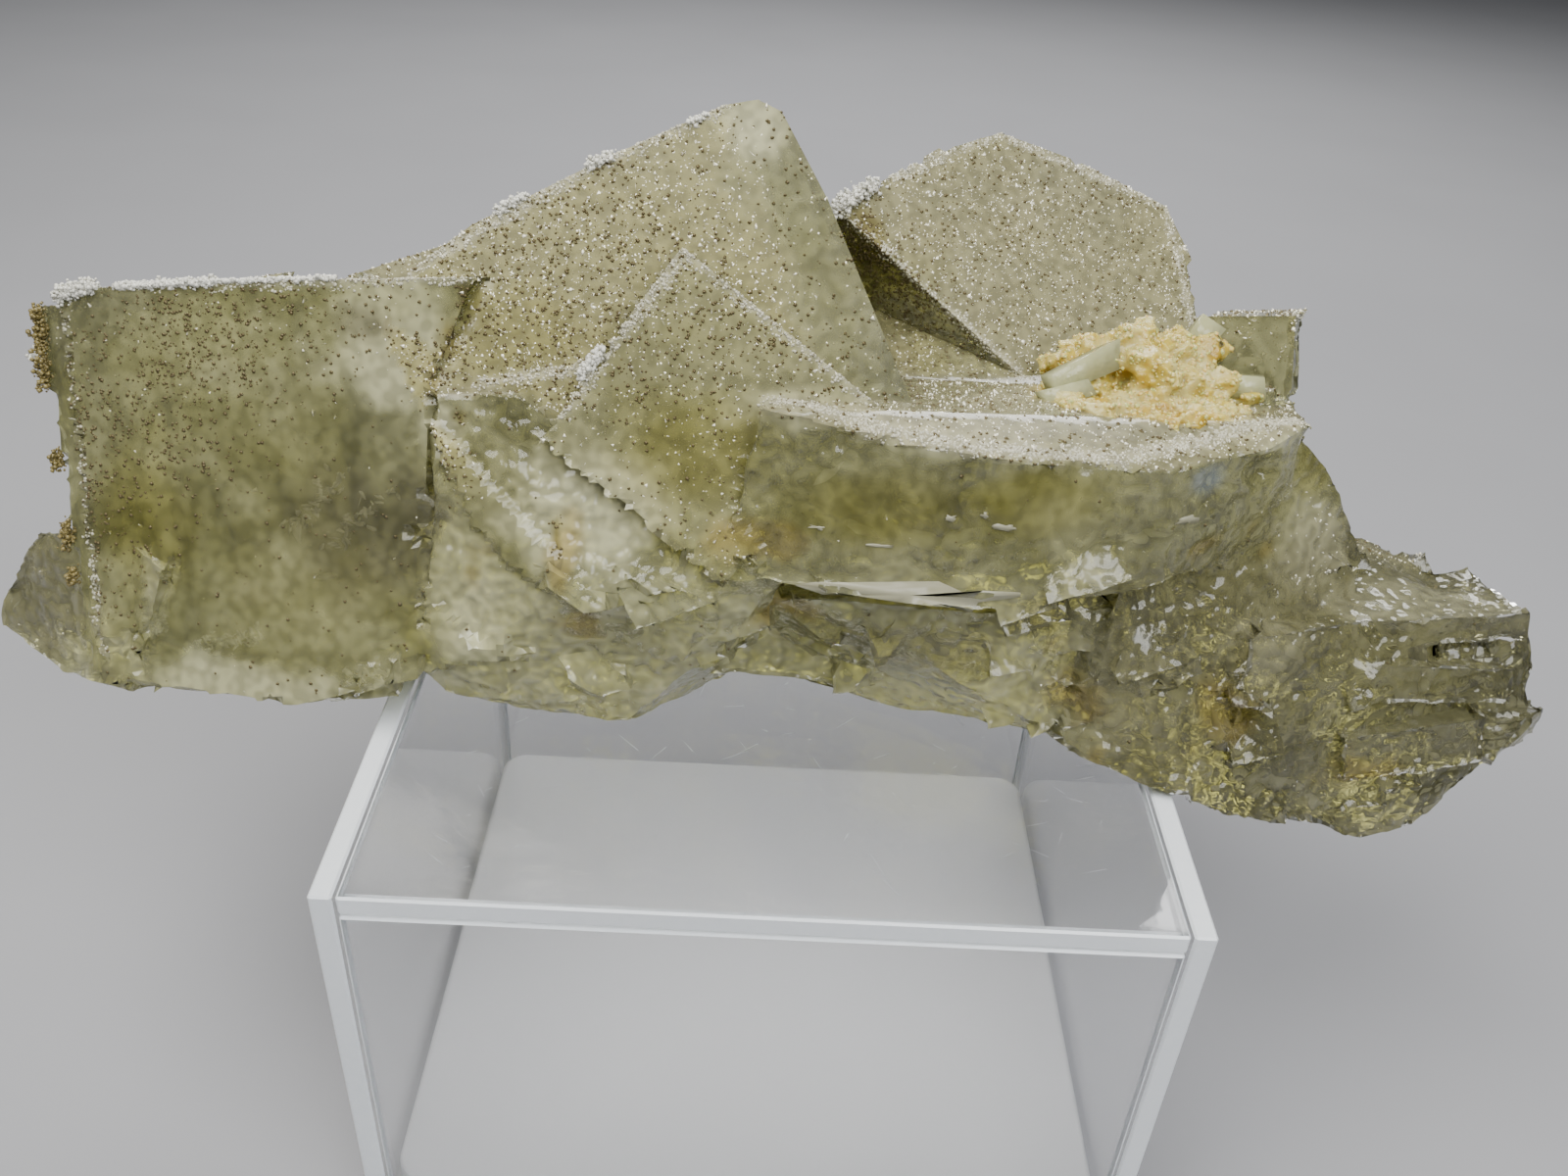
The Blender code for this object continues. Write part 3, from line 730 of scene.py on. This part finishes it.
def edge_grains(rng, name, lines, sizes, colour):
    """Fine quartz along lines given by two places on a crystal face, a count and a spread."""
    spots = np.concatenate([
        along(rng, from_face(*start), from_face(*end), count, spread) for start, end, count, spread in lines
    ])
    normals = np.tile(np.array((0.0, -0.5, 0.87)), (len(spots), 1))
    grains = grains_mesh(rng, name, spots, normals, sizes, BLOCK_POINTS, BLOCK_FACES, 0.9, 0.3)
    grown_on_crystal(grains, grain_material(name.replace("_", " "), colour, 0.2))


def build_rims(crystal, masks):
    """Fine quartz on the frosted edges of the crystals."""
    rng = np.random.default_rng(12)
    spots, normals = scattered(rng, crystal, masks["rim"] + 1e-9, RIM_GRAINS)
    grains = grains_mesh(rng, "quartz_rims", spots, normals, RIM_SIZE, BLOCK_POINTS, BLOCK_FACES, 0.8, 0.2)
    grown_on_crystal(grains, grain_material("quartz rims", (0.46, 0.44, 0.33), 0.15, vary=0.35))


def build_lumps():
    """White lumps of quartz on the crystals' top edges, and brown ones on the far left side."""
    white = (
        (("left", -18.2, 18.0), ("left", -14.6, 18.7), 700, 0.30),
        (("left", -12.5, 18.6), ("left", -3.0, 18.7), 1100, 0.15),
        (("left", -3.0, 18.7), ("left", 8.0, 18.7), 400, 0.08),
        (("left", -21.3, 12.6), ("left", -20.6, 12.9), 60, 0.22),
        (("great", -8.4, 19.7), ("great", -5.6, 19.9), 260, 0.22),
        (("great", 0.4, 20.0), ("great", 2.6, 20.0), 180, 0.22),
        (("great", 10.0, 19.8), ("great", 11.5, 19.8), 70, 0.18),
        (("corner", -3.6, 10.4), ("corner", -1.0, 10.4), 260, 0.26),
        (("back", -16.5, 9.8), ("back", -12.0, 12.0), 700, 0.42),
    )
    brown = (
        (("left", -20.3, 17.0), ("left", -20.6, 10.0), 420, 0.30),
        (("left", -20.4, 4.0), ("left", -20.5, 2.6), 110, 0.26),
        (("left", -20.4, -2.4), ("left", -20.5, -4.6), 150, 0.28),
        (("left", -20.4, -7.0), ("left", -20.5, -8.0), 80, 0.24),
    )
    edge_grains(np.random.default_rng(13), "white_lumps", white, LUMP_SIZE, (0.66, 0.65, 0.57))
    edge_grains(np.random.default_rng(14), "brown_crust", brown, LUMP_SIZE, (0.19, 0.15, 0.05))


def crust_material():
    made, tree, shader = new_material("yellow crust")
    tone = ramp(tree, noise(tree, 3.0, 3.0), ((0.36, (0.58, 0.44, 0.07)), (0.60, (0.66, 0.57, 0.22))))
    tone = blended(tree, mask(tree, "orange", 0.9), tone, (0.44, 0.27, 0.01))
    tree.links.new(tone, shader.inputs["Base Color"])
    shader.inputs["Roughness"].default_value = 0.22
    shader.inputs["Transmission Weight"].default_value = 0.2
    shader.inputs["IOR"].default_value = 1.5
    shader.inputs["Subsurface Weight"].default_value = 0.7
    shader.inputs["Subsurface Radius"].default_value = (1.0, 0.85, 0.4)
    shader.inputs["Subsurface Scale"].default_value = 1.4 * MM
    bumped(tree, shader, ((noise(tree, 0.45), 0.16, 0.8),))
    return made


def build_yellow_crust(crystal, masks):
    """Sugary lumps grown into one another, fine grains on them, and clear plates between them."""
    rng = np.random.default_rng(15)
    made = crust_material()
    spots, normals = scattered(rng, crystal, masks["yellow"] + 1e-9, CRUST_LUMPS)
    lumps = grains_mesh(rng, "yellow_crust", spots, normals, CRUST_SIZE, BLOCK_POINTS, BLOCK_FACES, 0.7, 0.2,
                        (0.6, 1.0))
    remeshed(lumps, "VOXEL", {"voxel_size": CRUST_STEP * MM})
    points, normals = arrays_of(lumps.data)
    set_points(lumps.data, points + normals * (0.14 * layered_noise(points, 0.9, 91, 2))[:, None])
    store_masks(lumps.data, {"orange": patches(points, ORANGE, 0.5)})
    lumps.data.shade_smooth()
    grown_on_crystal(lumps, made)
    spots, normals = scattered(rng, lumps, np.ones(len(points)), CRUST_GRAINS)
    grains = grains_mesh(rng, "crust_grains", spots, normals, CRUST_GRAIN_SIZE, BLOCK_POINTS, BLOCK_FACES,
                         0.8, 0.1)
    made = grain_material("crust grains", (0.58, 0.48, 0.16), 0.12, vary=0.25, subsurface=0.5)
    grown_on_crystal(grains, made)
    build_clear_plates()


def build_clear_plates():
    rng = np.random.default_rng(16)
    corners = np.array(BLOCK_POINTS)
    placed = []
    for at, size, turn in CLEAR_PLATES:
        uneven = corners * rng.uniform(0.6, 1.0, size=corners.shape)
        placed.append(np.array(at) + (uneven * np.array(size)) @ turned(*turn).T)
    index = np.array(BLOCK_FACES)[None] + (np.arange(len(placed)) * len(corners))[:, None, None]
    plates = linked("clear_plates", mesh_from("clear_plates", np.concatenate(placed), index.reshape(-1, 4)))
    made, tree, shader = new_material("clear plates")
    tree.links.new(blended(tree, noise(tree, 1.4, 3.0), (0.42, 0.42, 0.20), (0.56, 0.56, 0.33)),
                   shader.inputs["Base Color"])
    shader.inputs["Roughness"].default_value = 0.15
    shader.inputs["Transmission Weight"].default_value = 0.3
    shader.inputs["IOR"].default_value = FLUORITE_IOR
    bumped(tree, shader, ((noise(tree, 0.9, 2.0), 0.2, 0.6),))
    grown_on_crystal(plates, made)


def is_within(shell, point, depth=0.3):
    """Whether the point lies at least that deep below the surface."""
    nearest, normal, _, distance = shell.find_nearest(Vector(point))
    return distance > depth and (Vector(point) - nearest).dot(normal) < 0.0


def plates_mesh(name, outer, inner):
    """Thin closed plates: each row of outer and inner holds a plate's rim and then its middle."""
    sides = outer.shape[1] - 1
    faces = []
    for corner in range(sides):
        after = (corner + 1) % sides
        under, under_after = corner + sides + 1, after + sides + 1
        faces += [(sides, corner, after), (2 * sides + 1, under_after, under), (corner, under, after)]
        faces.append((after, under, under_after))
    rings = np.concatenate([outer, inner], axis=1)
    index = np.array(faces)[None] + (np.arange(len(rings)) * rings.shape[1])[:, None, None]
    return linked(name, mesh_from(name, rings.reshape(-1, 3), index.reshape(-1, 3)))


def flakes_mesh(rng, name, shell, middles, normals, radii):
    """Thin ragged flakes, one round each middle that leaves it within the shell."""
    count = len(middles)
    side = np.cross(normals, rng.normal(size=(count, 3)))
    side /= np.linalg.norm(side, axis=1)[:, None]
    third = np.cross(normals, side)
    corner = np.arange(FLAKE_SIDES)[None] + 0.5 * rng.random((count, FLAKE_SIDES))
    angle = 2 * math.pi * corner / FLAKE_SIDES
    reach = radii[:, None] * rng.uniform(0.45, 1.0, size=(count, FLAKE_SIDES))
    flat = (
        middles[:, None]
        + (reach * np.cos(angle))[..., None] * side[:, None] * 1.5
        + (reach * np.sin(angle))[..., None] * third[:, None] * 0.6
    )
    flat = np.concatenate([flat, middles[:, None]], axis=1)
    kept = [all(is_within(shell, point) for point in plate) for plate in flat]
    lift = (normals * FLAKE_THICKNESS / 2)[kept][:, None]
    return plates_mesh(name, flat[kept] + lift, flat[kept] - lift)


def crack_material():
    made, tree, shader = new_material("inner crack")
    tree.links.new(blended(tree, noise(tree, 1.0), (0.78, 0.77, 0.66), (0.90, 0.90, 0.82)),
                   shader.inputs["Base Color"])
    shader.inputs["Roughness"].default_value = 0.15
    shader.inputs["Alpha"].default_value = 0.45
    return made


def build_cracks(crystal, masks):
    """Bright cleavage cracks inside the clear crystal, seen through its faces."""
    rng = np.random.default_rng(23)
    weight = np.clip(masks["broken"] * 0.8 + masks["smoke_and_shade"] * 0.4 - masks["yellow"], 0.0, 1.0) + 0.02
    spots, normals = scattered(rng, crystal, weight, CRACKS)
    depth = rng.uniform(0.8, 5.0, size=CRACKS)
    radii = np.minimum(depth * 0.6, rng.uniform(0.5, 2.4, size=CRACKS))
    middles = spots - normals * depth[:, None]
    lie = np.array((0.05, -0.45, 0.89)) + 0.25 * rng.normal(size=(CRACKS, 3))
    for face, start, end, count, below in VEILS:
        line = along(rng, from_face(face, *start), from_face(face, *end), count, VEIL_SPREAD)
        across, up, _ = in_face(face, line)
        sunk = -rng.uniform(below, 1.4, size=count)
        line = np.array([from_face(face, *place) for place in zip(across, up, sunk)])
        middles = np.concatenate([middles, line])
        radii = np.concatenate([radii, rng.uniform(0.25, 0.6, size=count)])
        lie = np.concatenate([lie, face_normal(face) + 0.5 * rng.normal(size=(count, 3))])
    lie /= np.linalg.norm(lie, axis=1)[:, None]
    flakes = flakes_mesh(rng, "inner_cracks", shell_of(crystal), middles, lie, radii)
    grown_on_crystal(flakes, crack_material())


def build_cleavage(crystal):
    """The white sheet at the foot of the front block, a cleavage sheet painted pale partly as a highlight on
    the ledge, and bright chips on its face.
    """
    rng = np.random.default_rng(29)
    shell = shell_of(crystal)
    lower = [(x, SHEET_DEPTH, low) for x, low, _ in SHEET_EDGES]
    upper = [(x, SHEET_DEPTH, high) for x, _, high in reversed(SHEET_EDGES)]
    outline = np.array(lower + upper)
    rim = np.concatenate([outline + (0.12 * rng.normal(size=outline.shape)), outline.mean(axis=0)[None]])
    outlines = [rim]
    angle = 2 * math.pi * np.arange(len(outline)) / len(outline)
    for middle, (wide, tall) in CHIPS:
        reach = rng.uniform(0.3, 1.0, size=len(outline))
        across, up = wide * reach * np.cos(angle), tall * reach * np.sin(angle)
        rim = np.stack([across, np.zeros(len(outline)), up], axis=1)
        outlines.append(np.concatenate([rim, np.zeros((1, 3))]) + np.array(middle))
    outlines = np.array(outlines)
    places, normals = laid_on(shell, outlines.reshape(-1, 3))
    places, normals = places.reshape(outlines.shape), normals.reshape(outlines.shape)
    sheets = plates_mesh("cleavage_sheets_and_glint", places + 0.08 * normals, places - 0.25 * normals)
    # Paler than the crystal: partly a real cleavage sheet, partly a painted highlight where the ledge catches
    # the light.
    made, tree, shader = new_material("cleavage")
    tree.links.new(blended(tree, noise(tree, 1.2, 3.0, 0.6, (3.0, 1.0, 0.5)), (0.34, 0.32, 0.19),
                           (0.50, 0.49, 0.37)), shader.inputs["Base Color"])
    shader.inputs["Roughness"].default_value = 0.2
    shader.inputs["Transmission Weight"].default_value = 0.35
    shader.inputs["IOR"].default_value = FLUORITE_IOR
    grown_on_crystal(sheets, made)


# The riser

def acrylic_material():
    made, tree, shader = new_material("clear acrylic")
    shader.inputs["Base Color"].default_value = (0.985, 0.99, 1.0, 1.0)
    dust = ramp(tree, noise(tree, 9.0, 5.0, 0.7), ((0.42, 0.0), (0.8, 0.10)))
    tree.links.new(dust, shader.inputs["Roughness"])
    shader.inputs["Transmission Weight"].default_value = 1.0
    shader.inputs["IOR"].default_value = ACRYLIC_IOR
    return made


def cut_edge_material():
    made, tree, shader = new_material("saw-cut acrylic edge")
    streak = noise(tree, 1.5, 4.0, 0.7)
    tree.links.new(blended(tree, streak, (0.84, 0.89, 0.93), (0.95, 0.98, 1.0)), shader.inputs["Base Color"])
    shader.inputs["Roughness"].default_value = 0.3
    shader.inputs["Transmission Weight"].default_value = 0.2
    shader.inputs["IOR"].default_value = ACRYLIC_IOR
    bumped(tree, shader, ((noise(tree, 0.4), 0.05, 0.5),))
    return made


def bevelled_sheet(name, low, high):
    bm = bmesh.new()
    bmesh.ops.create_cube(bm, size=1.0)
    bmesh.ops.scale(bm, vec=high - low, verts=bm.verts)
    bmesh.ops.translate(bm, vec=(high + low) / 2, verts=bm.verts)
    bmesh.ops.bevel(bm, geom=list(bm.edges), offset=EDGE_ROUND * MM, segments=1, profile=0.5, affect="EDGES")
    mesh = bpy.data.meshes.new(name)
    bm.to_mesh(mesh)
    bm.free()
    return linked(name, mesh)


def build_riser():
    clear = acrylic_material()
    edge = cut_edge_material()
    for node in ("riser_top", "riser_front", "riser_back", "riser_left_side", "riser_right_side"):
        low, high = (Vector(corner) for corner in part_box(node))
        sheet = bevelled_sheet(node + "_sheet", low, high)
        sheet.data.materials.append(clear)
        sheet.data.materials.append(edge)
        thin = min(range(3), key=lambda axis: high[axis] - low[axis])
        for polygon in sheet.data.polygons:
            polygon.material_index = 0 if abs(polygon.normal[thin]) > 0.9 else 1
        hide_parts(node)
        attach(sheet, "root")
    finish_base()
    build_scratches()


def finish_base():
    made, tree, shader = new_material("white moulded plastic")
    tree.links.new(blended(tree, noise(tree, 18.0, 4.0), (0.93, 0.93, 0.94), (0.97, 0.97, 0.97)),
                   shader.inputs["Base Color"])
    shader.inputs["Roughness"].default_value = 0.38
    bumped(tree, shader, ((noise(tree, 0.6), 0.03, 0.3),))
    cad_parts["riser_base"].material_slots[0].material = made


def build_scratches():
    """Fine white scratches in the riser's top, mostly towards its front."""
    rng = np.random.default_rng(19)
    low, high = (np.array(corner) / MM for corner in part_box("riser_top"))
    middle = rng.uniform(low[:2] + 6, high[:2] - 4, size=(SCRATCHES, 2))
    middle[:, 1] = low[1] + 4 + (high[1] - low[1] - 8) * rng.random(SCRATCHES) ** 1.5
    angle = rng.normal(0.35, 0.8, size=SCRATCHES)
    length = rng.uniform(0.6, 5.0, size=SCRATCHES) * rng.random(SCRATCHES)
    run = np.stack([np.cos(angle), np.sin(angle)], axis=1)
    side = np.stack([-run[:, 1], run[:, 0]], axis=1) * SCRATCH_WIDTH / 2
    points = []
    for height in (high[2] - 0.02, high[2] - 0.004):
        for along_share, side_share in ((-0.5, 0.2), (-0.5, -0.2), (0.5, -1), (0.5, 1)):
            flat = middle + run * (length * along_share)[:, None] + side * side_share
            points.append(np.concatenate([flat, np.full((SCRATCHES, 1), height)], axis=1))
    points = np.stack(points, axis=1)
    faces = np.array(((0, 3, 2, 1), (4, 5, 6, 7), (0, 1, 5, 4), (1, 2, 6, 5), (2, 3, 7, 6), (3, 0, 4, 7)))
    index = faces[None] + (np.arange(SCRATCHES) * 8)[:, None, None]
    obj = linked("riser_scratches", mesh_from("riser_scratches", points.reshape(-1, 3), index.reshape(-1, 4)))
    obj.data.materials.append(grain_material("scratch", (0.82, 0.85, 0.88), 0.5))
    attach(obj, "root")


# Floor, light and camera

def build_floor():
    mesh = bpy.data.meshes.new("floor")
    corners = [(x * FLOOR_REACH, y * FLOOR_REACH, 0) for x, y in ((-1, -1), (1, -1), (1, 1), (-1, 1))]
    mesh.from_pydata(corners, [], [(0, 1, 2, 3)])
    floor = linked("floor", mesh)
    made, tree, shader = new_material("pale floor")
    tree.links.new(blended(tree, noise(tree, 60.0), (0.27, 0.27, 0.28), (0.30, 0.30, 0.31)),
                   shader.inputs["Base Color"])
    shader.inputs["Roughness"].default_value = 0.85
    floor.data.materials.append(made)


def area_light(name, at, towards, size, power, colour):
    light = bpy.data.lights.new(name, "AREA")
    light.shape = "RECTANGLE"
    light.size, light.size_y = (side * MM for side in size)
    light.energy = power
    light.color = colour
    obj = bpy.data.objects.new(name, light)
    bpy.context.scene.collection.objects.link(obj)
    obj.location = Vector(at) * MM
    aim = Vector(towards) * MM - obj.location
    obj.rotation_euler = aim.to_track_quat("-Z", "Y").to_euler()


def build_light():
    for settings in LIGHTS:
        area_light(*settings)
    world = bpy.data.worlds.new("studio")
    bpy.context.scene.world = world
    world.use_nodes = True
    background = world.node_tree.nodes["Background"]
    background.inputs["Color"].default_value = AMBIENT_COLOUR
    background.inputs["Strength"].default_value = AMBIENT


def build_camera():
    camera = bpy.data.cameras.new("photo")
    camera.sensor_width = SENSOR_MM
    camera.lens = FOCAL_PX / PICTURE_WIDTH_PX * SENSOR_MM
    camera.clip_start = 0.005
    obj = bpy.data.objects.new("photo", camera)
    bpy.context.scene.collection.objects.link(obj)
    back = -Vector(CAMERA_AIM).normalized()
    right = Vector(CAMERA_RIGHT).normalized()
    up = back.cross(right).normalized()
    turn = Matrix((up.cross(back), up, back)).transposed().to_4x4()
    obj.matrix_world = Matrix.Translation(Vector(CAMERA_AT) * MM) @ turn
    bpy.context.scene.camera = obj


crystal, looks = build_crystal()
build_druse(crystal, looks)
build_specks(crystal, looks)
build_rims(crystal, looks)
build_lumps()
build_yellow_crust(crystal, looks)
build_cracks(crystal, looks)
build_cleavage(crystal)
build_riser()
build_floor()
build_light()
build_camera()
